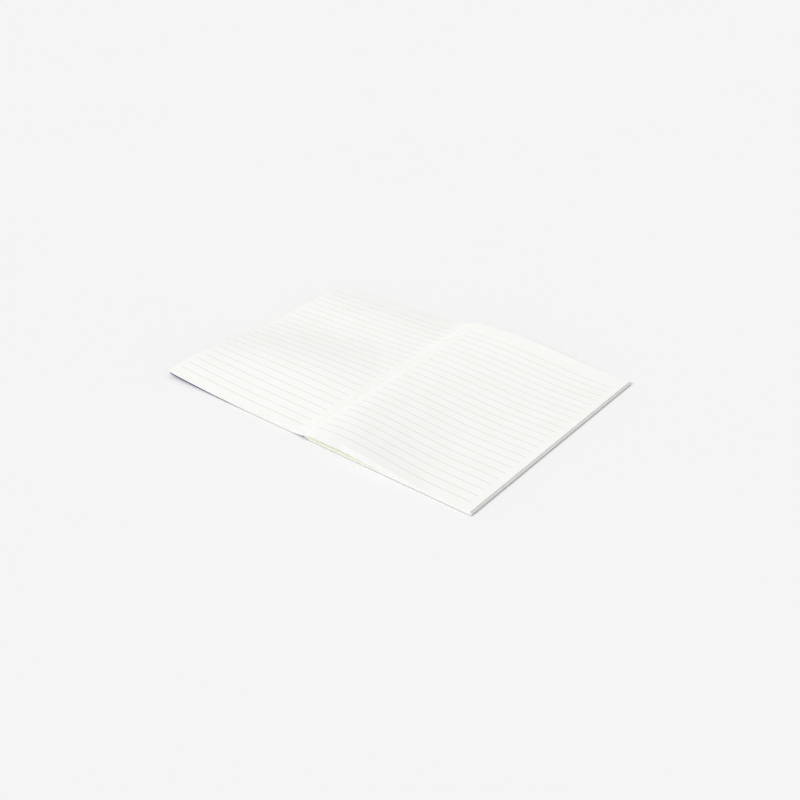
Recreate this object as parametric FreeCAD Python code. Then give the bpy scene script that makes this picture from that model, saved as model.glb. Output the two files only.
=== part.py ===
import FreeCAD, Part
import math
import os
from collections import namedtuple

# An open composition notebook, lying face up on its covers.
# The fold runs along Y. The left page lies towards -X and the right page towards +X.
# The origin is on the table, under the middle of the fold. All lengths are millimetres.
# The fold climbs from the near end to the far end, where the crease stands higher off the table.

Vector = FreeCAD.Vector

# Sheets
page_width = 148.0
page_height = 210.0
leaves_per_half = 28
leaf_thickness = 0.096
cover_thickness = 0.4

# Underside of the front cover at one end of the fold: its heights above the table and its slopes
# at the crease, at the shoulder beside it, at the waist and at the outer edge
Lean = namedtuple("Lean", "crease crease_slope shoulder shoulder_slope waist waist_slope edge edge_slope")
near_lean = Lean(1.6, 0.2, 0.0, 0.0, 0.0, 0.0, 3.0, -0.06)
far_lean = Lean(6.5, 0.45, 1.2, 0.12, 0.0, 0.0, 1.2, -0.03)
shoulder_reach = 14.0
waist_reach = 50.0

# Left leaves, which swell up off the front cover midway along the fold
swell_at_shoulder = 3.4
swell_at_waist = 3.7

# Back cover, which comes down from the crease and then lies flat on the table
near_landing = 7.0
far_landing = 60.0
back_crease_slope = 0.15

# Right half: the lowest leaves stay down on the back cover, and the others bow up beside the fold.
# Each bow gives the top page's slope at the gutter, its crest and the foot where it is flat again,
# then the start, crest and foot of the gap under the bowed leaves. Each place is measured out from
# the fold, and each height up from the table. The bows are spread evenly along the fold.
Bow = namedtuple("Bow", "arch_slope crest crest_height foot "
                        "gap_start gap_start_height gap_crest gap_crest_height gap_foot")
near_bow = Bow(0.3, 37.0, 9.6, 115.0, 5.0, 2.0, 26.0, 3.9, 76.0)
middle_bow = Bow(0.12, 15.0, 7.8, 109.0, 12.0, 3.8, 26.0, 4.8, 70.0)
far_bow = Bow(0.1, 37.0, 10.7, 146.0, 12.0, 6.3, 32.0, 7.6, 120.0)
bows = [near_bow, middle_bow, far_bow]
settled_leaves = 11
gap_start_slope = 0.2
gap_end_slope = 0.03
fore_edge_creep = 0.8

# Sewing along the fold
stitch_pitch = 8.0
stitch_gap = 0.9
end_margin = 1.0
thread_diameter = 0.5
thread_sides = 8
thread_clearance = 0.1

block_thickness = leaves_per_half * leaf_thickness
flat_top = cover_thickness + block_thickness
near_end = -page_height / 2
fold_climb = far_lean.crease - near_lean.crease
middle_lean = Lean(*[(near + far) / 2 for near, far in zip(near_lean, far_lean)])
swollen_lean = middle_lean._replace(
    crease_slope=0.0,
    shoulder=middle_lean.shoulder + swell_at_shoulder,
    shoulder_slope=0.0,
    waist=middle_lean.waist + swell_at_waist,
    edge_slope=-middle_lean.edge_slope / 2,
)


def at(x, z):
    """Point of the cross-section at the near end of the notebook."""
    return Vector(x, near_end, z)


def line(start, end):
    return Part.makeLine(start, end)


def flowing_edge(start, start_slope, end, end_slope):
    """Cubic edge in the cross-section that leaves and arrives with the given slopes."""
    third = (end.x - start.x) / 3
    first_handle = start + Vector(third, 0, third * start_slope)
    last_handle = end - Vector(third, 0, third * end_slope)
    curve = Part.BezierCurve()
    curve.setPoles([start, first_handle, last_handle, end])
    return curve.toShape()


def crease_height(share):
    """Height of the covers' underside at the crease, a share of the way to the far end."""
    return near_lean.crease + share * fold_climb


def front_surface(lean, height):
    """Edges of a left-hand surface that lies the given height above the cover's underside."""
    crest = at(0, lean.crease + height)
    shoulder = at(-shoulder_reach, lean.shoulder + height)
    waist = at(-waist_reach, lean.waist + height)
    edge = at(-page_width, lean.edge + height)
    return [
        flowing_edge(crest, lean.crease_slope, shoulder, lean.shoulder_slope),
        flowing_edge(shoulder, lean.shoulder_slope, waist, lean.waist_slope),
        flowing_edge(waist, lean.waist_slope, edge, lean.edge_slope),
    ]


def landing_edge(share, height):
    """Edge of the back cover from the crease down to the place where it lies flat."""
    crest = at(0, crease_height(share) + height)
    landing = at(near_landing + share * (far_landing - near_landing), height)
    return flowing_edge(crest, -back_crease_slope, landing, 0)


def end_of(edge):
    return edge.lastVertex(True).Point


def start_of(edge):
    return edge.firstVertex(True).Point


def layer_outline(lower, upper):
    """Closed cross-section between two surfaces."""
    outer_edge = line(end_of(lower[-1]), end_of(upper[-1]))
    fold_edge = line(start_of(upper[0]), start_of(lower[0]))
    return Part.Wire(lower + [outer_edge] + upper[::-1] + [fold_edge])


def loft_along_fold(outlines):
    """Solid through cross-sections spread evenly from the near end of the fold to the far end."""
    spacing = page_height / (len(outlines) - 1)
    for number, outline in enumerate(outlines):
        outline.translate(Vector(0, number * spacing, 0))
    return Part.makeLoft(outlines, True, False)


def front_cover_solid():
    """Front cover, lofted from its lean at the near end of the fold to its lean at the far end."""
    return loft_along_fold([
        layer_outline(front_surface(lean, 0), front_surface(lean, cover_thickness))
        for lean in (near_lean, far_lean)
    ])


def left_leaves_solid():
    """Left-hand leaves, which follow the cover underneath and swell up midway along the fold."""
    undersides = (near_lean, middle_lean, far_lean)
    tops = (near_lean, swollen_lean, far_lean)
    return loft_along_fold([
        layer_outline(front_surface(under, cover_thickness), front_surface(top, flat_top))
        for under, top in zip(undersides, tops)
    ])


def back_cover_solid():
    """Back cover: a lofted slope beside the crease, and a level board out to the fore edge."""
    slope = loft_along_fold([
        layer_outline([landing_edge(share, 0)], [landing_edge(share, cover_thickness)])
        for share in (0, 1)
    ])
    board = Part.Face(Part.makePolygon([
        Vector(near_landing, near_end, 0),
        Vector(page_width, near_end, 0),
        Vector(page_width, -near_end, 0),
        Vector(far_landing, -near_end, 0),
        Vector(near_landing, near_end, 0),
    ])).extrude(Vector(0, 0, cover_thickness))
    return slope.fuse(board)


def right_leaves_outline(bow, share):
    """Closed cross-section of the right-hand leaves."""
    slope = landing_edge(share, cover_thickness)
    lower_corner = at(page_width, cover_thickness)
    upper_corner = at(page_width - fore_edge_creep, flat_top)
    foot = at(bow.foot, flat_top)
    crest = at(bow.crest, bow.crest_height)
    gutter = at(0, crease_height(share) + flat_top)
    return Part.Wire([
        slope,
        line(end_of(slope), lower_corner),
        line(lower_corner, upper_corner),
        line(upper_corner, foot),
        flowing_edge(foot, 0, crest, 0),
        flowing_edge(crest, 0, gutter, bow.arch_slope),
        line(gutter, start_of(slope)),
    ])


def gap_outline(bow):
    """Closed cross-section of the gap between the settled leaves and the bowed ones."""
    floor = cover_thickness + settled_leaves * leaf_thickness
    start = at(bow.gap_start, bow.gap_start_height)
    crest = at(bow.gap_crest, bow.gap_crest_height)
    foot = at(bow.gap_foot, floor)
    floor_slope = (foot.z - start.z) / (foot.x - start.x)
    return Part.Wire([
        flowing_edge(start, gap_start_slope, crest, 0),
        flowing_edge(crest, 0, foot, floor_slope - gap_end_slope),
        line(foot, start),
    ])


def thread_groove():
    """Round channel along the gutter, in which the thread lies."""
    radius = thread_diameter / 2 + thread_clearance
    direction = Vector(0, page_height, fold_climb)
    overrun = direction / page_height
    start = at(0, crease_height(0) + flat_top) - overrun
    return Part.makeCylinder(radius, (direction + overrun * 2).Length, start, direction)


def thread_section(radius, along, height):
    """Eight-sided section of the thread, the given distance along the fold."""
    corners = []
    for number in range(thread_sides + 1):
        angle = math.radians(360 / thread_sides * (number + 0.5))
        corners.append(at(radius * math.cos(angle), height + radius * math.sin(angle)))
    section = Part.makePolygon(corners)
    section.translate(Vector(0, along, along / page_height * fold_climb))
    return section


def stitch(along, height):
    """One straight stitch that narrows at both ends, where the thread dives into its needle holes."""
    radius = thread_diameter / 2
    start = along + stitch_gap / 2
    end = along + stitch_pitch - stitch_gap / 2
    sections = [
        thread_section(radius / 2, start, height),
        thread_section(radius, start + thread_diameter, height),
        thread_section(radius, end - thread_diameter, height),
        thread_section(radius / 2, end, height),
    ]
    return Part.makeLoft(sections, True, True)


def sewing():
    """Rows of stitches in the gutter and under the crease of the covers."""
    stitch_count = int((page_height - 2 * end_margin) / stitch_pitch)
    first = (page_height - stitch_count * stitch_pitch) / 2
    inner_height = crease_height(0) + flat_top
    outer_height = crease_height(0) - thread_diameter / 2 - thread_clearance
    stitches = []
    for number in range(stitch_count):
        along = first + number * stitch_pitch
        stitches.append(stitch(along, inner_height))
        stitches.append(stitch(along, outer_height))
    return Part.makeCompound(stitches)


groove = thread_groove()
shares = [number / (len(bows) - 1) for number in range(len(bows))]
leaves = loft_along_fold([right_leaves_outline(bow, share) for bow, share in zip(bows, shares)])
gap = loft_along_fold([gap_outline(bow) for bow in bows])

nodes = {
    "front_cover": front_cover_solid(),
    "back_cover": back_cover_solid(),
    "left_pages": left_leaves_solid().cut(groove),
    "right_pages": leaves.cut([gap, groove]),
    "sewing_thread": sewing(),
}

os.makedirs("parts", exist_ok=True)
for name, shape in nodes.items():
    shape.exportStep("parts/" + name + ".step")
    print(name, "valid", shape.isValid(), "solids", len(shape.Solids), "volume", round(shape.Volume, 1))
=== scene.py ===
import logging
import math
import random
from dataclasses import dataclass, field
from enum import IntEnum
from typing import Optional, Sequence, Union

import bpy
import numpy as np
from mathutils import Matrix, Vector


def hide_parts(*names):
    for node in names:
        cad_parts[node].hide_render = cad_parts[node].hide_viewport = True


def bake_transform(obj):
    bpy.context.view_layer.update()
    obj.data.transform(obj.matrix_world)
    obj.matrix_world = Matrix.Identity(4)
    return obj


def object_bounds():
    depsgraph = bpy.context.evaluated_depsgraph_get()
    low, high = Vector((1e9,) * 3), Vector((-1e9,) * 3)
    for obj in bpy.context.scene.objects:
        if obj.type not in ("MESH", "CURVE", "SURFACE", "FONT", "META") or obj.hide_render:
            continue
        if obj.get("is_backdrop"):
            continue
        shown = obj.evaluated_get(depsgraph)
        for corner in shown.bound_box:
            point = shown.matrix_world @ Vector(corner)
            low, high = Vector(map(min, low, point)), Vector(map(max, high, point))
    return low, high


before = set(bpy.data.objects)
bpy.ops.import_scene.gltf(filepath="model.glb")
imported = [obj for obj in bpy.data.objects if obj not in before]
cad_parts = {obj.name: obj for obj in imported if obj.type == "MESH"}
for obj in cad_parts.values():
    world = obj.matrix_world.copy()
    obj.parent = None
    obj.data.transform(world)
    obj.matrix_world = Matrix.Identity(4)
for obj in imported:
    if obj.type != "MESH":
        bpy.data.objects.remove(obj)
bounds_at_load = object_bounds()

log = logging.getLogger("notebook")

Socket = bpy.types.NodeSocket
Value = Union[Socket, float, tuple]
Colour = tuple[float, float, float, float]

MM = 0.001  # metres in a millimetre
CURVE_SAMPLES = 49  # points read off each cubic curve
SHARP_ANGLE = 40  # degrees between faces from which their edge stays crisp


@dataclass(frozen=True)
class NotebookSize:
    """Sizes of the whole notebook in millimetres."""

    page_width: float = 148.0
    page_height: float = 210.0
    sheets: int = 28
    settled_sheets: int = 11
    leaf_pitch: float = 0.096
    cover: float = 0.4
    near_crease: float = 1.6
    far_crease: float = 6.5
    near_landing: float = 7.0
    far_landing: float = 60.0
    back_slope: float = 0.15
    shoulder: float = 14.0
    waist: float = 50.0

    @property
    def flat_top(self) -> float:
        """Height of the top page where it lies flat."""
        return self.cover + self.sheets * self.leaf_pitch

    @property
    def climb(self) -> float:
        """How far the fold climbs from its near end to its far end."""
        return self.far_crease - self.near_crease

    @property
    def reaches(self) -> np.ndarray:
        """Distances out from the fold at which sheets have points, closest beside the fold."""
        parts = ((0, 12, 13), (14, 62, 17), (67, self.page_width, 16))
        return np.concatenate([np.linspace(*part) for part in parts])


@dataclass(frozen=True)
class Lean:
    """How the left half stands at one place along the fold.

    The slope at the crease comes first, then heights and slopes at the shoulder, the waist and
    the outer edge.
    """

    crease_slope: float
    shoulder: float
    shoulder_slope: float
    waist: float
    waist_slope: float
    edge: float
    edge_slope: float


@dataclass(frozen=True)
class Bow:
    """How the right-hand leaves bow up at one place along the fold."""

    arch_slope: float
    crest: float
    crest_height: float
    foot: float
    gap_slope: float
    gap_crest: float
    gap_height: float
    gap_foot: float


def flow(start: Sequence[float], start_slope: float, end: Sequence[float], end_slope: float) -> np.ndarray:
    """Poles of a cubic curve that leaves and arrives with the given slopes.

    Args:
        start: Reach and height of the first point.
        start_slope: Slope at the first point.
        end: Reach and height of the last point.
        end_slope: Slope at the last point.

    Returns:
        Four poles, one to a row.
    """
    third = (end[0] - start[0]) / 3
    return np.array([
        start,
        (start[0] + third, start[1] + third * start_slope),
        (end[0] - third, end[1] - third * end_slope),
        end,
    ])


def heights_on(curves: Sequence[np.ndarray], reach: np.ndarray) -> np.ndarray:
    """Heights of a chain of cubic curves.

    Args:
        curves: Poles of each curve, from the fold outwards.
        reach: Distances out from the fold.

    Returns:
        One height for each reach.
    """
    t = np.linspace(0.0, 1.0, CURVE_SAMPLES)[:, None]
    points = np.concatenate([
        (1 - t) ** 3 * c[0] + 3 * (1 - t) ** 2 * t * c[1] + 3 * (1 - t) * t ** 2 * c[2] + t ** 3 * c[3]
        for c in curves
    ])
    return np.interp(reach, points[:, 0], points[:, 1])


@dataclass
class NotebookShape:
    """Heights of every layer of the open notebook, from the fold out to both outer edges.

    A share is 0 at the near end of the fold and 1 at the far end. A reach is the distance out
    from the fold. Heights are millimetres above the table. Each ripple is one wave of the left
    half along the fold: its height at the outer edge, and how much it bulges before that.
    """

    size: NotebookSize = field(default_factory=NotebookSize)
    near_lean: Lean = Lean(0.2, 0.0, 0.0, 0.0, 0.0, 3.0, -0.06)
    far_lean: Lean = Lean(0.45, 1.2, 0.12, 0.0, 0.0, 1.2, -0.03)
    swollen_lean: Lean = Lean(0.0, 4.0, 0.0, 3.7, 0.0, 2.1, 0.0225)
    bows: tuple[Bow, Bow, Bow] = (
        Bow(0.3, 37.0, 9.6, 115.0, 0.02, 26.0, 3.9, 76.0),
        Bow(0.12, 15.0, 7.8, 109.0, 0.0, 26.0, 4.8, 70.0),
        Bow(0.1, 37.0, 10.7, 146.0, 0.0, 32.0, 7.6, 120.0),
    )
    gap_foot_slope: float = -0.05
    ripples: tuple[tuple[float, float], ...] = ((0.39, 0.14), (1.05, 0.6), (1.52, -0.18), (0.03, -0.79))

    def crease(self, share: float) -> float:
        """Height of the covers' underside at the fold."""
        return self.size.near_crease + share * self.size.climb

    def lean_curves(self, lean: Lean, crease: float) -> list[np.ndarray]:
        """Curves of the left half's underside.

        Args:
            lean: How the half stands.
            crease: Height at the fold.

        Returns:
            Poles of each curve, from the fold outwards.
        """
        shoulder = (self.size.shoulder, lean.shoulder)
        waist = (self.size.waist, lean.waist)
        edge = (self.size.page_width, lean.edge)
        return [
            flow((0.0, crease), -lean.crease_slope, shoulder, -lean.shoulder_slope),
            flow(shoulder, -lean.shoulder_slope, waist, -lean.waist_slope),
            flow(waist, -lean.waist_slope, edge, -lean.edge_slope),
        ]

    def ripple(self, share: float, reach: np.ndarray) -> np.ndarray:
        """Gentle waves of the left half along the fold, which grow towards the outer edge.

        Args:
            share: Share of the way along the fold.
            reach: Distances out from the fold.

        Returns:
            One rise for each reach.
        """
        out = reach / self.size.page_width
        rise = np.zeros_like(out)
        for number, (edge, bulge) in enumerate(self.ripples, start=1):
            rise += math.sin(number * math.pi * share) * (edge * out + bulge * 4 * out * (1 - out))
        return rise

    def front_underside(self, share: float, reach: np.ndarray) -> np.ndarray:
        """Underside of the front cover, which takes up the waves beyond the waist.

        Args:
            share: Share of the way along the fold.
            reach: Distances out from the fold.

        Returns:
            One height for each reach, never below the table.
        """
        near = heights_on(self.lean_curves(self.near_lean, self.crease(0)), reach)
        far = heights_on(self.lean_curves(self.far_lean, self.crease(1)), reach)
        out = np.clip((reach - self.size.waist) / (self.size.page_width - self.size.waist), 0, 1)
        follow = out * out * (3 - 2 * out)
        return np.maximum(near * (1 - share) + far * share + self.ripple(share, reach) * follow, 0.0)

    def left_page(self, share: float, reach: np.ndarray) -> np.ndarray:
        """Top page on the left, which swells up off the cover midway along the fold.

        Args:
            share: Share of the way along the fold.
            reach: Distances out from the fold.

        Returns:
            One height for each reach.
        """
        leans = (self.near_lean, self.swollen_lean, self.far_lean)
        curves = [self.lean_curves(lean, self.crease(number / 2)) for number, lean in enumerate(leans)]
        return heights_on(self.between(curves, share), reach) + self.size.flat_top + self.ripple(share, reach)

    def back_underside(self, share: float, reach: np.ndarray) -> np.ndarray:
        """Underside of the back cover, from the crease down to where it lies on the table.

        Args:
            share: Share of the way along the fold.
            reach: Distances out from the fold.

        Returns:
            One height for each reach.
        """
        landing = self.size.near_landing + share * (self.size.far_landing - self.size.near_landing)
        crest = (0.0, self.crease(share))
        return heights_on([flow(crest, -self.size.back_slope, (landing, 0.0), 0.0)], reach)

    def top_page(self, share: float, reach: np.ndarray) -> np.ndarray:
        """Top page on the right.

        Args:
            share: Share of the way along the fold.
            reach: Distances out from the fold.

        Returns:
            One height for each reach.
        """
        parts = []
        for number, bow in enumerate(self.bows):
            gutter = (0.0, self.crease(number / 2) + self.size.flat_top)
            crest = (bow.crest, bow.crest_height)
            parts.append([
                flow(gutter, bow.arch_slope, crest, 0.0),
                flow(crest, 0.0, (bow.foot, self.size.flat_top), 0.0),
            ])
        return heights_on(self.between(parts, share), reach)

    def gap_ceiling(self, share: float, reach: np.ndarray) -> np.ndarray:
        """Underside of the bowed leaves, which come down on the settled ones.

        Args:
            share: Share of the way along the fold.
            reach: Distances out from the fold.

        Returns:
            One height for each reach.
        """
        settled = self.size.cover + self.size.settled_sheets * self.size.leaf_pitch
        parts = []
        for number, bow in enumerate(self.bows):
            gutter = (0.0, self.crease(number / 2) + settled)
            crest = (bow.gap_crest, bow.gap_height)
            parts.append([
                flow(gutter, bow.gap_slope, crest, 0.0),
                flow(crest, 0.0, (bow.gap_foot, settled), self.gap_foot_slope),
            ])
        floor = self.back_underside(share, reach) + settled
        return np.maximum(heights_on(self.between(parts, share), reach), floor)

    @staticmethod
    def between(parts: Sequence[Sequence[np.ndarray]], share: float) -> list[np.ndarray]:
        """Curves that flow along the fold through those at its near end, middle and far end.

        Args:
            parts: Curves at the three places.
            share: Share of the way along the fold.

        Returns:
            Poles of each curve at that share.
        """
        near, middle, far = (1 - share) * (1 - 2 * share), 4 * share * (1 - share), share * (2 * share - 1)
        return [near * a + middle * b + far * c for a, b, c in zip(*parts)]

    def sheet_heights(self, number: float, share: float, reach: np.ndarray, right: bool) -> np.ndarray:
        """Heights of the middle of one folded sheet on one side of the fold.

        Args:
            number: The sheet's place in the stack, 0 against the cover. Half a place more or less
                reaches the sheet's faces.
            share: Share of the way along the fold.
            reach: Distances out from the fold.
            right: True for the right-hand side.

        Returns:
            One height for each reach.
        """
        size = self.size
        level = number + 0.5
        if not right:
            low = self.front_underside(share, reach) + size.cover
            return low + (self.left_page(share, reach) - low) * level / size.sheets
        if number < size.settled_sheets - 0.5:
            return self.back_underside(share, reach) + (size.cover + level * size.leaf_pitch)
        ceiling = self.gap_ceiling(share, reach)
        rank = (level - size.settled_sheets) / (size.sheets - size.settled_sheets)
        return ceiling + (self.top_page(share, reach) - ceiling) * rank


def new_object(name: str, data: bpy.types.ID) -> bpy.types.Object:
    """Adds an object to the scene.

    Args:
        name: Its name.
        data: Its mesh, light or camera.

    Returns:
        The new object.
    """
    item = bpy.data.objects.new(name, data)
    bpy.context.scene.collection.objects.link(item)
    return item


class Face(IntEnum):
    """Which finish a face of a sheet takes."""

    UPPER = 0
    LOWER = 1
    EDGE = 2
    # faces inside the gap, which get painted bounce light
    GAP = 3
    # fore edges with painted shade, dark lines for the shadowed slots between groups of leaves
    HANDLED = 4
    HEAD = 5


@dataclass
class Pile:
    """Closed forms gathered into one smooth mesh. Its points are in millimetres."""

    points: list[Sequence[float]] = field(default_factory=list)
    faces: list[Sequence[int]] = field(default_factory=list)

    def piece(self, name: str) -> bpy.types.Object:
        """Makes the mesh.

        Args:
            name: Name of the mesh and of its object.

        Returns:
            The new object.
        """
        mesh = bpy.data.meshes.new(name)
        mesh.from_pydata((np.array(self.points) * MM).tolist(), [], self.faces)
        mesh.polygons.foreach_set("use_smooth", [True] * len(self.faces))
        log.info("%s: %d faces", name, len(self.faces))
        return new_object(name, mesh)


@dataclass
class SheetPile(Pile):
    """Thin sheets, each face with a finish."""

    kinds: list[Face] = field(default_factory=list)

    def add(self, x: np.ndarray, y: np.ndarray, low: np.ndarray, high: np.ndarray,
            upper: Face = Face.UPPER, lower: Face = Face.LOWER, outer: Face = Face.EDGE,
            head: Face = Face.EDGE) -> None:
        """Adds one sheet.

        Args:
            x: Places across the notebook, a row of the grid for each.
            y: Places along the fold, a column of the grid for each.
            low: Heights of the lower face.
            high: Heights of the upper face.
            upper: Finish of the upper face.
            lower: Finish of the lower face.
            outer: Finish of the left and right edges.
            head: Finish of the near and far edges.
        """
        first = len(self.points)
        across, along = x.shape
        count = across * along
        for z in (high, low):
            self.points.extend(np.stack([x, y, z], axis=-1).reshape(-1, 3).tolist())

        def vertex(i: int, j: int, below: bool = False) -> int:
            """Number of the point at a place of the upper grid, or of the lower one."""
            return first + i * along + j + (count if below else 0)

        for i in range(across - 1):
            for j in range(along - 1):
                ring = [(i, j), (i + 1, j), (i + 1, j + 1), (i, j + 1)]
                self.faces.append([vertex(*corner) for corner in ring])
                self.faces.append([vertex(*corner, below=True) for corner in reversed(ring)])
                self.kinds.extend([upper, lower])
        rim = [(i, 0) for i in range(across)] + [(across - 1, j) for j in range(1, along)]
        rim += [(i, along - 1) for i in range(across - 2, -1, -1)] + [(0, j) for j in range(along - 2, 0, -1)]
        for a, b in zip(rim, rim[1:] + rim[:1]):
            self.faces.append([vertex(*a, below=True), vertex(*b, below=True), vertex(*b), vertex(*a)])
            self.kinds.append(outer if a[0] == b[0] else head)

    def build(self, name: str, near_end: float) -> bpy.types.Object:
        """Object of all the sheets, with each point's place on its page kept as a UV map in metres.

        Args:
            name: Name of the object.
            near_end: Y of the near end of the fold, in millimetres.

        Returns:
            The new object.
        """
        piece = self.piece(name)
        mesh = piece.data
        mesh.polygons.foreach_set("material_index", [int(kind) for kind in self.kinds])
        corners = np.empty(len(mesh.loops), dtype=np.int32)
        mesh.loops.foreach_get("vertex_index", corners)
        place = np.array(self.points)[:, :2] * MM
        place[:, 1] -= near_end * MM
        mesh.uv_layers.new(name="place").data.foreach_set("uv", place[corners].ravel())
        mesh.set_sharp_from_angle(angle=math.radians(SHARP_ANGLE))
        return piece


@dataclass
class TubePile(Pile):
    """Round tubes."""

    sides: int = 7

    def add(self, path: np.ndarray, radius: float) -> None:
        """Adds one tube.

        Args:
            path: Points of its middle line, which runs mostly along Y.
            radius: Its radius.
        """
        first = len(self.points)
        angles = np.arange(self.sides) * 2 * math.pi / self.sides
        for x, y, z in path:
            for angle in angles:
                self.points.append((x + radius * math.cos(angle), y, z + radius * math.sin(angle)))
        last = len(self.points) - self.sides
        for ring in range(first, last, self.sides):
            for side in range(self.sides):
                a, b = ring + side, ring + (side + 1) % self.sides
                self.faces.append((a, b, b + self.sides, a + self.sides))
        self.faces.append(tuple(range(first + self.sides - 1, first - 1, -1)))
        self.faces.append(tuple(range(last, last + self.sides)))


class Graph:
    """A node tree with short calls for adding and joining nodes."""

    def __init__(self, tree: bpy.types.NodeTree) -> None:
        """Keeps the tree that the calls work on."""
        self.tree = tree

    def node(self, kind: str, **settings: object) -> bpy.types.Node:
        """Adds a node.

        Args:
            kind: Last part of the name of its type.
            **settings: Its own settings.

        Returns:
            The new node.
        """
        node = self.tree.nodes.new("ShaderNode" + kind)
        for name, value in settings.items():
            setattr(node, name, value)
        return node

    def feed(self, socket: Socket, value: Value) -> None:
        """Joins an input to an output, or sets it to a constant.

        Args:
            socket: The input.
            value: The output or the constant.
        """
        if isinstance(value, bpy.types.NodeSocket):
            self.tree.links.new(value, socket)
        else:
            socket.default_value = value

    def fill(self, node: bpy.types.Node, *values: Value, **named: Value) -> Socket:
        """Feeds several inputs of a node.

        Args:
            node: The node.
            *values: Outputs or constants for its first inputs, in their order.
            **named: Outputs or constants for inputs by their names.

        Returns:
            Its first output.
        """
        for key, value in [*enumerate(values), *named.items()]:
            self.feed(node.inputs[key], value)
        return node.outputs[0]

    def math(self, operation: str, *values: Value, clamp: bool = False) -> Socket:
        """Result of a math node."""
        return self.fill(self.node("Math", operation=operation, use_clamp=clamp), *values)

    def ramp(self, value: Value, low: float, high: float, start: float = 0.0, end: float = 1.0) -> Socket:
        """Value carried smoothly from the range between low and high to that between start and end."""
        node = self.node("MapRange", interpolation_type="SMOOTHSTEP")
        return self.fill(node, value, low, high, start, end)

    def within(self, value: Value, low: Value, high: Value) -> Socket:
        """One where a value lies between two limits, and otherwise nought."""
        above, below = self.math("GREATER_THAN", value, low), self.math("LESS_THAN", value, high)
        return self.math("MULTIPLY", above, below)

    def blend(self, first: Value, first_part: float, second: Value, second_part: float) -> Socket:
        """Sum of two values, each times its part."""
        first, second = self.math("MULTIPLY", first, first_part), self.math("MULTIPLY", second, second_part)
        return self.math("ADD", first, second)

    def split(self, place: Value) -> tuple[Socket, Socket]:
        """Takes a place apart.

        Args:
            place: A place on the page.

        Returns:
            How far it is across the notebook, and how far along the fold.
        """
        node = self.node("SeparateXYZ")
        self.fill(node, place)
        return node.outputs[0], node.outputs[1]

    def mix(self, factor: Value, first: Value, second: Value) -> Socket:
        """Mixes two colours.

        Args:
            factor: Share of the second colour.
            first: First colour.
            second: Second colour.

        Returns:
            The colour between them.
        """
        node = self.node("Mix", data_type="RGBA")
        self.feed(node.inputs["Factor"], factor)
        self.feed(node.inputs[6], first)
        self.feed(node.inputs[7], second)
        return node.outputs[2]

    def scaled(self, colour: Value, factor: Value) -> Socket:
        """Colour made darker or lighter by a factor."""
        return self.fill(self.node("VectorMath", operation="SCALE"), colour, Scale=factor)

    def noise(self, place: Value, scale: float, detail: float = 2.0, roughness: float = 0.5) -> Socket:
        """Noise from 0 to 1 at a place."""
        node = self.node("TexNoise")
        return self.fill(node, Vector=place, Scale=scale, Detail=detail, Roughness=roughness)

    def stretched(self, place: Value, scale: tuple[float, float, float]) -> Socket:
        """Place scaled along its axes, so that what is read there is drawn out."""
        return self.fill(self.node("Mapping"), Vector=place, Scale=scale)

    def use(self, group: bpy.types.NodeTree, **inputs: Value) -> bpy.types.Node:
        """Puts a node group to use.

        Args:
            group: The group.
            **inputs: Outputs or constants for its inputs. Underscores in names stand for spaces.

        Returns:
            The group's node.
        """
        node = self.node("Group", node_tree=group)
        for name, value in inputs.items():
            self.feed(node.inputs[name.replace("_", " ").capitalize()], value)
        return node


@dataclass
class Effect:
    """A shader node group that reads a place, and has further numbers for inputs and outputs."""

    name: str
    inputs: tuple[str, ...]
    outputs: tuple[str, ...]
    graph: Graph = field(init=False)
    given: bpy.types.Node = field(init=False)
    result: bpy.types.Node = field(init=False)

    def __post_init__(self) -> None:
        """Makes the group with its sockets."""
        tree = bpy.data.node_groups.new(self.name, "ShaderNodeTree")
        tree.interface.new_socket(name="Place", in_out="INPUT", socket_type="NodeSocketVector")
        for side, names in (("INPUT", self.inputs), ("OUTPUT", self.outputs)):
            for name in names:
                tree.interface.new_socket(name=name, in_out=side, socket_type="NodeSocketFloat")
        self.graph = Graph(tree)
        self.given, self.result = tree.nodes.new("NodeGroupInput"), tree.nodes.new("NodeGroupOutput")

    def value(self, name: str) -> Socket:
        """One of the inputs."""
        return self.given.outputs[name]

    def send(self, name: str, value: Value) -> None:
        """Joins an output."""
        self.graph.feed(self.result.inputs[name], value)


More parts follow.
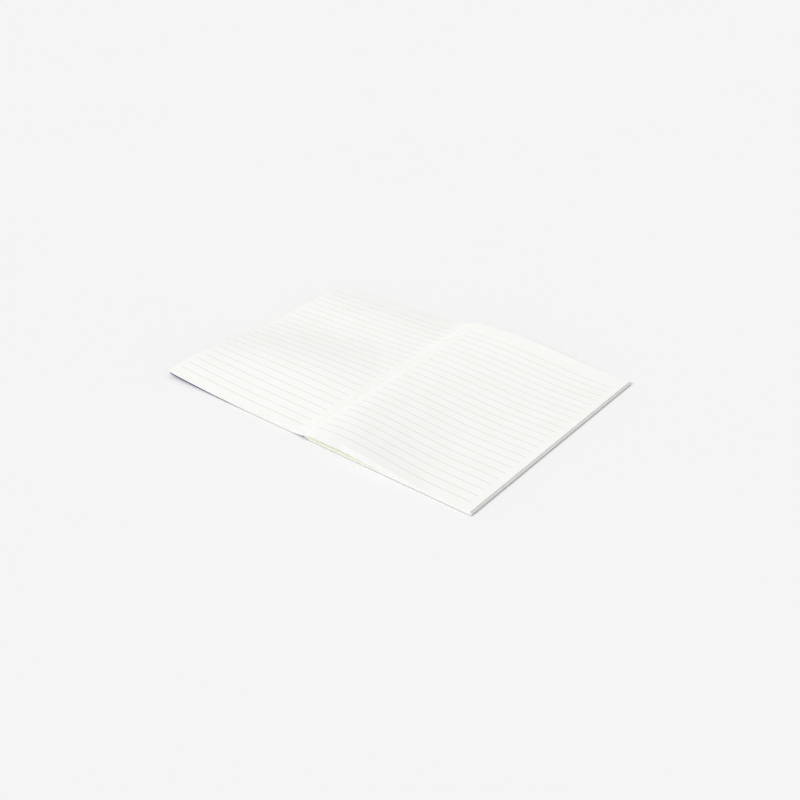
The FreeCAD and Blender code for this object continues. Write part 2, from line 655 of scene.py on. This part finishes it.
class Effects:
    """Effects that several finishes share. All their measures are in metres."""

    def __init__(self) -> None:
        """Builds each effect once."""
        self.rows = self.ruled_rows()
        self.fibre = self.paper_fibre()
        self.holes = self.needle_holes()
        self.grain = self.card_grain()
        self.wear = self.edge_wear()

    @staticmethod
    def repeats(effect: Effect, along: Socket) -> tuple[Socket, Socket]:
        """Measures from marks that repeat along the fold.

        Args:
            effect: Effect that takes the place of the first mark and the pitch.
            along: Place along the fold.

        Returns:
            Number of pitches from the first mark, and distance from the nearest mark.
        """
        g = effect.graph
        pitch = effect.value("Pitch")
        count = g.math("DIVIDE", g.math("SUBTRACT", along, effect.value("First")), pitch)
        return count, g.math("MULTIPLY", g.math("PINGPONG", count, 0.5), pitch)

    @staticmethod
    def ruled_rows() -> bpy.types.NodeTree:
        """Printed rows on both halves of a sheet, slightly uneven in their ink.

        Returns:
            Group whose mask is the ink.
        """
        effect = Effect(
            "ruled_rows",
            ("First", "Pitch", "Rows", "Width", "Left start", "Left end", "Right start", "Right end"),
            ("Mask",),
        )
        g = effect.graph
        place = effect.value("Place")
        across, along = g.split(place)
        count, away = Effects.repeats(effect, along)
        line = g.math("LESS_THAN", away, g.math("MULTIPLY", effect.value("Width"), 0.5))
        rows = g.within(count, -0.5, g.math("SUBTRACT", effect.value("Rows"), 0.5))
        back = g.math("MULTIPLY", across, -1.0)
        left = g.within(back, effect.value("Left start"), effect.value("Left end"))
        right = g.within(across, effect.value("Right start"), effect.value("Right end"))
        ink = g.ramp(g.noise(place, scale=900.0, detail=3.0), low=0.3, high=0.62, start=0.72, end=1.0)
        mask = g.math("MULTIPLY", g.math("MULTIPLY", line, rows), ink)
        effect.send("Mask", g.math("MULTIPLY", mask, g.math("ADD", left, right, clamp=True)))
        return g.tree

    @staticmethod
    def paper_fibre() -> bpy.types.NodeTree:
        """Soft clouds and short fibres of uncoated paper.

        Returns:
            Group with the clouds, the fibres and the height of the paper's tooth.
        """
        effect = Effect("paper_fibre", (), ("Cloud", "Fibre", "Height"))
        g = effect.graph
        place = effect.value("Place")
        fibre = g.noise(g.stretched(place, (1.0, 3.2, 1.0)), scale=1500.0, detail=4.0, roughness=0.65)
        tooth = g.noise(place, scale=4200.0)
        effect.send("Cloud", g.noise(place, scale=55.0, detail=3.0))
        effect.send("Fibre", fibre)
        effect.send("Height", g.blend(fibre, 0.6, tooth, 0.4))
        return g.tree

    @staticmethod
    def needle_holes() -> bpy.types.NodeTree:
        """Round holes pricked along the fold.

        Returns:
            Group whose mask is the holes.
        """
        effect = Effect("needle_holes", ("First", "Pitch", "Count", "Radius"), ("Mask",))
        g = effect.graph
        across, along = g.split(effect.value("Place"))
        number, away = Effects.repeats(effect, along)
        squares = g.math("ADD", g.math("POWER", across, 2.0), g.math("POWER", away, 2.0))
        inside = g.math("LESS_THAN", g.math("SQRT", squares), effect.value("Radius"))
        effect.send("Mask", g.math("MULTIPLY", inside, g.within(number, -0.5, effect.value("Count"))))
        return g.tree

    @staticmethod
    def card_grain() -> bpy.types.NodeTree:
        """Mottling, fine grain and faint scuffs of coloured card.

        Returns:
            Group with each of them and the height of the grain.
        """
        effect = Effect("card_grain", (), ("Mottle", "Grain", "Scuff", "Height"))
        g = effect.graph
        place = effect.value("Place")
        mottle = g.noise(place, scale=40.0, detail=4.0, roughness=0.6)
        grain = g.noise(place, scale=1100.0, detail=5.0, roughness=0.6)
        streaks = g.noise(g.stretched(place, (1.0, 14.0, 1.0)), scale=90.0, detail=6.0, roughness=0.7)
        effect.send("Mottle", mottle)
        effect.send("Grain", grain)
        effect.send("Scuff", g.ramp(streaks, low=0.58, high=0.75))
        effect.send("Height", g.blend(grain, 0.7, mottle, 0.3))
        return g.tree

    @staticmethod
    def edge_wear() -> bpy.types.NodeTree:
        """Rubbed places along the outer edges of the card and along its fold.

        Returns:
            Group whose mask is the rubbed places.
        """
        effect = Effect("edge_wear", ("Width", "Height", "Reach"), ("Mask",))
        g = effect.graph
        place = effect.value("Place")
        across, along = g.split(place)
        across = g.math("ABSOLUTE", across)
        side = g.math("MINIMUM", across, g.math("SUBTRACT", effect.value("Width"), across))
        end = g.math("MINIMUM", along, g.math("SUBTRACT", effect.value("Height"), along))
        away = g.math("DIVIDE", g.math("MINIMUM", side, end), effect.value("Reach"))
        rubbed = g.noise(place, scale=240.0, detail=5.0, roughness=0.7)
        effect.send("Mask", g.ramp(g.math("SUBTRACT", rubbed, away), low=0.25, high=0.6))
        return g.tree


class Marks:
    """Marks that repeat along the fold."""

    def numbers(self) -> dict[str, float]:
        """Their sizes, by the names of their effect's inputs."""
        return {name: value for name, value in vars(self).items() if isinstance(value, float)}


@dataclass(frozen=True)
class Ruling(Marks):
    """Printed rows in metres, measured from the near edge and from the fold."""

    first: float = 0.0088
    pitch: float = 0.008
    rows: float = 24.0
    width: float = 0.00042
    left_start: float = 0.0069
    left_end: float = 0.1433
    right_start: float = 0.0068
    right_end: float = 0.1414
    ink: Colour = (0.63, 0.64, 0.65, 1.0)


@dataclass(frozen=True)
class Pricking(Marks):
    """Needle holes in metres, measured from the near edge."""

    first: float = 0.001
    pitch: float = 0.008
    count: float = 26.5
    radius: float = 0.0003
    # painted shade: dark dots stand for the needle holes, which are not cut in the sheet
    dark: Colour = (0.4, 0.39, 0.38, 1.0)


class MaterialGraph(Graph):
    """The node tree of a new material, with its shader."""

    def __init__(self, name: str) -> None:
        """Makes the material.

        Args:
            name: Its name.
        """
        self.material = bpy.data.materials.new(name)
        self.material.use_nodes = True
        super().__init__(self.material.node_tree)
        self.shader = self.tree.nodes["Principled BSDF"]

    def page_place(self) -> Socket:
        """Place on the page, out from the fold and along from the near edge."""
        return self.node("UVMap", uv_map="place").outputs[0]

    def object_place(self) -> Socket:
        """Place in the object's own frame."""
        return self.node("TexCoord").outputs["Object"]

    def surface(self, colour: Value, roughness: Value, specular: Optional[float] = None) -> None:
        """Sets what the shader shows.

        Args:
            colour: Base colour.
            roughness: Roughness.
            specular: Specular level, or None for the usual one.
        """
        self.fill(self.shader, **{"Base Color": colour, "Roughness": roughness})
        if specular is not None:
            self.shader.inputs["Specular IOR Level"].default_value = specular

    def bump(self, height: Socket, strength: float, distance: float) -> None:
        """Gives the surface a fine relief.

        Args:
            height: Its height from 0 to 1.
            strength: How plainly it shows.
            distance: How deep it is, in metres.
        """
        node = self.node("Bump")
        normal = self.fill(node, Strength=strength, Distance=distance, Height=height)
        self.feed(self.shader.inputs["Normal"], normal)


@dataclass(frozen=True)
class PaperFinish:
    """Uncoated writing paper, with or without printed rows."""

    name: str
    pale: Colour
    warm: Colour
    ruling: Optional[Ruling] = None
    pricking: Optional[Pricking] = None
    roughness: tuple[float, float] = (0.86, 0.98)
    specular: float = 0.2
    tooth: float = 0.25
    tooth_depth: float = 0.00004

    def build(self, effects: Effects) -> bpy.types.Material:
        """Makes the material.

        Args:
            effects: Shared effects.

        Returns:
            The new material.
        """
        graph = MaterialGraph(self.name)
        place = graph.page_place()
        fibre = graph.use(effects.fibre, place=place)
        cloud = graph.ramp(fibre.outputs["Cloud"], low=0.35, high=0.65)
        speck = graph.ramp(fibre.outputs["Fibre"], low=0.25, high=0.7, start=0.955, end=1.0)
        colour = graph.scaled(graph.mix(cloud, self.pale, self.warm), speck)
        if self.ruling:
            rows = graph.use(effects.rows, place=place, **self.ruling.numbers())
            colour = graph.mix(rows.outputs["Mask"], colour, self.ruling.ink)
        if self.pricking:
            holes = graph.use(effects.holes, place=place, **self.pricking.numbers())
            # painted shade of the needle holes
            colour = graph.mix(holes.outputs["Mask"], colour, self.pricking.dark)
        graph.surface(colour, graph.ramp(fibre.outputs["Fibre"], 0.2, 0.8, *self.roughness), self.specular)
        graph.bump(fibre.outputs["Height"], self.tooth, self.tooth_depth)
        return graph.material


@dataclass(frozen=True)
class CardFinish:
    """Coloured card with a satin face.

    It may go over to a grey towards the right, which can carry painted shade, and it may be rubbed along its
    edges.
    """

    name: str
    colour: Colour
    worn: Colour
    roughness: tuple[float, float]
    # grey the card goes over to towards the right; on the cut edge it is darkened as painted shade
    bare: Optional[Colour] = None
    bare_from: tuple[float, float] = (-0.085, -0.055)
    rubbed: Optional[Colour] = None
    rubbed_reach: float = 0.006
    half_width: float = 0.148
    height: float = 0.21
    mottling: float = 0.35
    scuffing: float = 0.5
    specular: float = 0.35
    grain: float = 0.3
    grain_depth: float = 0.00006

    def build(self, effects: Effects) -> bpy.types.Material:
        """Makes the material.

        Args:
            effects: Shared effects.

        Returns:
            The new material.
        """
        graph = MaterialGraph(self.name)
        place = graph.page_place()
        grain = graph.use(effects.grain, place=place)
        mottle = graph.ramp(grain.outputs["Mottle"], low=0.3, high=0.7, end=self.mottling)
        base = graph.mix(mottle, self.colour, self.worn)
        base = graph.mix(graph.math("MULTIPLY", grain.outputs["Scuff"], self.scuffing), base, self.worn)
        if self.rubbed:
            wear = graph.use(
                effects.wear, place=place, width=self.half_width, height=self.height, reach=self.rubbed_reach)
            base = graph.mix(wear.outputs["Mask"], base, self.rubbed)
        if self.bare:
            across, _ = graph.split(place)
            base = graph.mix(graph.ramp(across, *self.bare_from), base, self.bare)
        graph.surface(base, graph.ramp(grain.outputs["Grain"], 0.3, 0.7, *self.roughness), self.specular)
        graph.bump(grain.outputs["Height"], self.grain, self.grain_depth)
        return graph.material


@dataclass(frozen=True)
class ThreadFinish:
    """White twisted cotton thread."""

    name: str = "sewing_cotton"
    pale: Colour = (0.95, 0.95, 0.93, 1.0)
    shade: Colour = (0.88, 0.88, 0.85, 1.0)
    roughness: tuple[float, float] = (0.75, 0.95)
    sheen: float = 0.2
    relief: float = 0.5
    relief_depth: float = 0.00005

    def build(self) -> bpy.types.Material:
        """Makes the material.

        Returns:
            The new material.
        """
        graph = MaterialGraph(self.name)
        place = graph.stretched(graph.object_place(), (1.0, 0.35, 1.0))
        strands = graph.noise(place, scale=9000.0, detail=3.0, roughness=0.6)
        colour = graph.mix(graph.ramp(strands, low=0.3, high=0.7), self.shade, self.pale)
        graph.surface(colour, graph.ramp(strands, 0.3, 0.7, *self.roughness))
        graph.shader.inputs["Sheen Weight"].default_value = self.sheen
        graph.bump(strands, self.relief, self.relief_depth)
        return graph.material


@dataclass
class Fold:
    """The fold's half width; pieces that cross the fold are not bent."""

    half_width: float = 4.4

    def bend(self, piece: bpy.types.Object) -> None:
        """Bakes a piece's transform into its mesh; the piece does not follow either half."""
        start, end = (Vector((side * self.half_width * MM, 0.0, 0.0)) for side in (-1, 1))
        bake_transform(piece)
        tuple(start)
        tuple(end)


@dataclass
class Leaves:
    """The folded sheets, nested in one another from the cover up to the centre of the notebook.

    The sheets that are set back stop short of the others. The sheets with shaded fore edges get
    painted shade there: dark lines that stand for the shadowed slots between groups of leaves.
    """

    shape: NotebookShape
    seed: int = 11
    fullness: float = 0.96
    creep: float = 0.8
    unevenness: float = 0.1
    inset: float = 0.03
    set_back: float = 0.3
    set_back_sheets: tuple[int, ...] = (24, 25, 26)
    # sheets whose fore edges get painted shade, standing for the shadowed slots between groups of leaves
    handled_sheets: tuple[int, ...] = (0, 1, 24, 25, 26)
    rows: int = 25
    centre_rows: int = 49

    def grid(self, number: int, shares: np.ndarray, chance: random.Random) -> tuple[np.ndarray, ...]:
        """Grids of one sheet.

        Args:
            number: The sheet's place in the stack, 0 against the cover.
            shares: Shares along the fold, one to a row.
            chance: Source of the small differences between sheets.

        Returns:
            Grids of x, y, lower height and upper height.
        """
        size = self.shape.size
        rank = number / (size.sheets - 1)
        step = self.set_back if number in self.set_back_sheets else 0.0
        edge = size.page_width - self.inset - step
        left_edge = edge - chance.random() * self.unevenness
        right_edge = edge - self.creep * rank - chance.random() * self.unevenness
        outward = size.reaches / size.page_width
        left, right = outward[:0:-1] * left_edge, outward * right_edge
        half = size.page_height / 2
        near = -half + self.inset + chance.random() * self.unevenness
        far = half - self.inset - chance.random() * self.unevenness
        along = near + shares * (far - near)
        faces = []
        for side in (-0.5, 0.5):
            level = number + side * self.fullness
            columns = []
            for row in along:
                share = (row + half) / size.page_height
                columns.append(np.concatenate([
                    self.shape.sheet_heights(level, share, left, right=False),
                    self.shape.sheet_heights(level, share, right, right=True),
                ]))
            faces.append(np.array(columns).T)
        x, y = np.meshgrid(np.concatenate([-left, right]), along, indexing="ij")
        return x, y, faces[0], faces[1]

    def build(self) -> dict[str, bpy.types.Object]:
        """Builds the settled sheets, the bowed sheets and the centre sheet on top.

        Returns:
            Each piece by its name.
        """
        size = self.shape.size
        chance = random.Random(self.seed)
        runs = {
            "settled_sheets": (range(size.settled_sheets), self.rows),
            "bowed_sheets": (range(size.settled_sheets, size.sheets - 1), self.rows),
            "centre_sheet": (range(size.sheets - 1, size.sheets), self.centre_rows),
        }
        pieces = {}
        for name, (numbers, rows) in runs.items():
            pile = SheetPile()
            for number in numbers:
                upper = Face.GAP if number == size.settled_sheets - 1 else Face.UPPER
                lower = Face.GAP if number == size.settled_sheets else Face.LOWER
                outer = Face.HANDLED if number in self.handled_sheets else Face.EDGE
                pile.add(*self.grid(number, np.linspace(0, 1, rows), chance), upper, lower, outer, Face.HEAD)
            pieces[name] = pile.build(name, -size.page_height / 2)
        return pieces

    def dress(self, pieces: dict[str, bpy.types.Object], effects: Effects) -> None:
        """Gives each sheet its paper, with a tone for the cut edges, painted bounce light inside the gap, and
        painted shade on the near and far edges and on some fore edges.

        Args:
            pieces: Each piece by its name.
            effects: Shared effects.
        """
        ruling, pricking = Ruling(), Pricking()
        centre, inner, *others = (paper.build(effects) for paper in (
            PaperFinish("centre_paper", (0.956, 0.958, 0.934, 1), (0.941, 0.943, 0.906, 1), ruling, pricking),
            PaperFinish("inner_paper", (0.95, 0.952, 0.93, 1), (0.935, 0.938, 0.905, 1), ruling),
            PaperFinish("cut_paper", (0.96, 0.96, 0.955, 1), (0.94, 0.94, 0.932, 1)),
            # painted bounce light: a brighter, yellower copy of the paper for the faces inside the gap,
            # standing for light passed between the leaves
            PaperFinish("gap_bounce_paper", (0.965, 0.975, 0.84, 1), (0.955, 0.968, 0.81, 1), ruling),
            # painted shade: dark fore edges that stand for the shadowed slots between groups of leaves
            PaperFinish("edge_shade_paper", (0.34, 0.34, 0.33, 1), (0.5, 0.5, 0.48, 1)),
            # painted shade: near and far edges darker than the other cut edges, offsetting the lamp's
            # stronger light from the front
            PaperFinish("head_shaded_paper", (0.82, 0.82, 0.815, 1), (0.79, 0.79, 0.78, 1)),
        ))
        for name, piece in pieces.items():
            upper = centre if name == "centre_sheet" else inner
            for material in (upper, inner, *others):
                piece.data.materials.append(material)


@dataclass
class Cover:
    """One folded card, violet outside and pale lemon inside.

    Its cut edge is deeper along the outer part of the near left edge, by a share of its height
    above the table and at most by a set amount. That deeper dark rim is painted shade, standing
    for the shadowed gap under the lifted cover.
    """

    shape: NotebookShape
    inset: float = 0.03
    shortfall: float = 0.14
    lip: float = 0.65
    lip_share: float = 0.4
    lip_depth: float = 1.5
    rows: int = 25

    def build(self) -> bpy.types.Object:
        """Builds the whole card.

        Returns:
            The card.
        """
        size = self.shape.size
        reach = size.reaches * (size.page_width - self.shortfall) / size.page_width
        half = size.page_height / 2 - self.inset
        along = np.concatenate([[-half], np.linspace(-half + self.lip_depth, half, self.rows)])
        columns = []
        for row in along:
            share = row / size.page_height + 0.5
            columns.append(np.concatenate([
                self.shape.front_underside(share, reach[:0:-1]),
                self.shape.back_underside(share, reach),
            ]))
        low = np.array(columns).T + self.inset / 3
        high = low + size.cover - self.inset
        x, y = np.meshgrid(np.concatenate([-reach[:0:-1], reach]), along, indexing="ij")
        left = x[:, 0] < 0
        # painted shade: the dark cut edge is thickened downwards where the lifted cover leaves a shadowed gap
        low[left, 0] -= np.minimum(low[left, 0] * self.lip_share, self.lip)
        pile = SheetPile()
        pile.add(x, y, low, high)
        return pile.build("cover_card", -size.page_height / 2)

    def dress(self, piece: bpy.types.Object, effects: Effects) -> None:
        """Gives the card its colours.

        Args:
            piece: The card.
            effects: Shared effects.
        """
        inside = CardFinish("lemon_card", (0.85, 0.84, 0.42, 1), (0.9, 0.89, 0.6, 1), (0.6, 0.75),
                            rubbed=(0.9, 0.89, 0.66, 1))
        outside = CardFinish("violet_card", (0.09, 0.06, 0.21, 1), (0.17, 0.13, 0.34, 1), (0.36, 0.56),
                             rubbed=(0.36, 0.31, 0.5, 1))
        # cut edge: violet card, made darker as painted shade for the shadowed gap under the lifted cover;
        # towards the right the edge's own pale grey is darkened as painted shade for the shadow along the
        # fore edge
        edge = CardFinish("card_edge_shade", (0.034, 0.014, 0.12, 1), (0.06, 0.036, 0.17, 1), (0.8, 0.9),
                          bare=(0.38, 0.37, 0.41, 1))
        for finish in (inside, outside, edge):
            piece.data.materials.append(finish.build(effects))


@dataclass
class Sewing:
    """Two-ply thread, running in stitches over and under the fold."""

    shape: NotebookShape
    pitch: float = 8.0
    count: int = 26
    radius: float = 0.24
    swing_share: float = 0.45
    ply_share: float = 0.55
    dive: float = 0.55
    dive_length: float = 0.8
    hole_margin: float = 0.1
    inner_sink: float = 0.1
    outer_drop: float = 0.35
    steps: int = 34
    turns: float = 5.0

    def stitch(self, pile: TubePile, start: float, height: float, inner: bool) -> None:
        """Adds both plies of one stitch.

        Args:
            pile: Stitches so far.
            start: Distance of the first needle hole from the near edge.
            height: Height of the stitch's middle line at the near edge.
            inner: True in the gutter, False outside the crease.
        """
        size = self.shape.size
        t = np.linspace(0.0, 1.0, self.steps)
        along = start + self.hole_margin + t * (self.pitch - 2 * self.hole_margin)
        ends = np.minimum(t, 1 - t) * self.pitch
        sink = np.clip(1 - ends / self.dive_length, 0, 1) ** 2 * self.dive * (-1 if inner else 1)
        middle = height + size.climb / size.page_height * along + sink
        swing = self.radius * self.swing_share
        for ply in (0, 1):
            angle = 2 * math.pi * (self.turns * t + ply / 2)
            path = np.stack([
                swing * np.cos(angle),
                along - size.page_height / 2,
                middle + swing * np.sin(angle),
            ], axis=1)
            pile.add(path, self.radius * self.ply_share)

    def build(self) -> bpy.types.Object:
        """Builds all the stitches.

        Returns:
            The thread.
        """
        size = self.shape.size
        pile = TubePile()
        first = (size.page_height - self.count * self.pitch) / 2
        for number in range(self.count):
            start = first + number * self.pitch
            self.stitch(pile, start, size.near_crease + size.flat_top - self.inner_sink, inner=True)
            self.stitch(pile, start, size.near_crease - self.outer_drop, inner=False)
        return pile.piece("stitched_thread")

    def dress(self, piece: bpy.types.Object) -> None:
        """Gives the thread its cotton."""
        piece.data.materials.append(ThreadFinish().build())


@dataclass
class Notebook:
    """The whole notebook: sheets, cover card and sewing."""

    shape: NotebookShape = field(default_factory=NotebookShape)
    fold: Fold = field(default_factory=Fold)

    def build(self) -> None:
        """Builds and dresses every piece, bakes its transform and hides the plain solids it replaces."""
        effects = Effects()
        leaves = Leaves(self.shape)
        sheets = leaves.build()
        leaves.dress(sheets, effects)
        cover = Cover(self.shape)
        card = cover.build()
        cover.dress(card, effects)
        sewing = Sewing(self.shape)
        thread = sewing.build()
        sewing.dress(thread)
        for piece in (*sheets.values(), card, thread):
            self.fold.bend(piece)
        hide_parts("left_pages", "right_pages")
        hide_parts("front_cover", "back_cover")
        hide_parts("sewing_thread")


@dataclass(frozen=True)
class Studio:
    """Pale floor, an even white surround and one soft lamp from the left."""

    floor_colour: Colour = (0.913, 0.913, 0.913, 1.0)
    floor_size: float = 14.0
    floor_drop: float = 0.0001
    surround: float = 0.7
    lamp_strength: float = 1.63
    lamp_spread: float = 16.0
    lamp_from: tuple[float, float, float] = (-0.5, -1.25, 0.95)

    def build(self) -> None:
        """Builds the floor, the world and the lamp."""
        self.floor()
        self.world()
        self.lamp()
        bpy.context.scene.view_settings.view_transform = "Standard"
        log.info("studio ready")

    def floor(self) -> None:
        """Plain floor just under the notebook."""
        half = self.floor_size / 2
        mesh = bpy.data.meshes.new("floor")
        corners = [(x * half, y * half, -self.floor_drop) for x, y in ((-1, -1), (1, -1), (1, 1), (-1, 1))]
        mesh.from_pydata(corners, [], [(0, 1, 2, 3)])
        graph = MaterialGraph("floor_paint")
        cloud = graph.ramp(graph.noise(graph.object_place(), scale=3.0), low=0.3, high=0.7, start=0.998)
        graph.surface(graph.scaled(self.floor_colour[:3], cloud), roughness=1.0, specular=0.0)
        mesh.materials.append(graph.material)
        new_object("floor", mesh)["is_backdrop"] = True

    def world(self) -> None:
        """Even surround, seen by the camera as the floor's own colour."""
        world = bpy.data.worlds.new("surround")
        world.use_nodes = True
        world.node_tree.nodes.clear()
        bpy.context.scene.world = world
        graph = Graph(world.node_tree)
        light = graph.fill(graph.node("Background"), (1.0, 1.0, 1.0, 1.0), self.surround)
        backdrop = graph.fill(graph.node("Background"), self.floor_colour)
        seen = graph.node("LightPath").outputs["Is Camera Ray"]
        choice = graph.fill(graph.node("MixShader"), seen, light, backdrop)
        graph.feed(graph.node("OutputWorld").inputs[0], choice)

    def lamp(self) -> None:
        """Soft lamp that casts a faint shadow towards the right."""
        data = bpy.data.lights.new("soft_lamp", "SUN")
        data.energy = self.lamp_strength
        data.angle = math.radians(self.lamp_spread)
        lamp = new_object("soft_lamp", data)
        lamp.rotation_euler = Vector(self.lamp_from).to_track_quat("Z", "Y").to_euler()


@dataclass(frozen=True)
class Camera:
    """Where the picture is taken from. Turns are in degrees, the place is in millimetres."""

    place: tuple[float, float, float] = (433.7, -514.4, 384.2)
    turn: float = -39.94
    down: float = 30.87
    roll: float = -1.12
    reach_in_pixels: float = 984.6
    picture_width: float = 800.0
    sensor_width: float = 36.0
    clip_end: float = 50.0

    def build(self) -> None:
        """Adds the camera and makes it the scene's own."""
        turn, down, roll = (math.radians(angle) for angle in (self.turn, self.down, self.roll))
        forward = Vector((math.sin(turn) * math.cos(down), math.cos(turn) * math.cos(down), -math.sin(down)))
        right = Vector((math.cos(turn), -math.sin(turn), 0.0))
        up = right.cross(forward)
        level_right = math.cos(roll) * right + math.sin(roll) * up
        level_up = math.cos(roll) * up - math.sin(roll) * right
        axes = Matrix((level_right, level_up, -forward)).transposed()
        data = bpy.data.cameras.new("camera")
        data.sensor_width = self.sensor_width
        data.lens = self.reach_in_pixels * self.sensor_width / self.picture_width
        data.clip_end = self.clip_end
        camera = new_object("camera", data)
        camera.matrix_world = Matrix.Translation(Vector(self.place) * MM) @ axes.to_4x4()
        bpy.context.scene.camera = camera
        log.info("camera ready")


def write_sizes() -> None:
    """Logs the object's bounds as finished; those as loaded are gathered but not logged.
    """
    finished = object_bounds()
    sizes = {
        "at_load": [[float(v) for v in corner] for corner in bounds_at_load],
        "at_finish": [[float(v) for v in corner] for corner in finished],
    }
    log.info("bounds %s", sizes["at_finish"])


def main() -> None:
    """Builds the notebook, the studio and the camera."""
    logging.basicConfig(level=logging.INFO, format="%(message)s")
    Notebook().build()
    Studio().build()
    Camera().build()
    write_sizes()


if __name__ == "__main__":
    main()
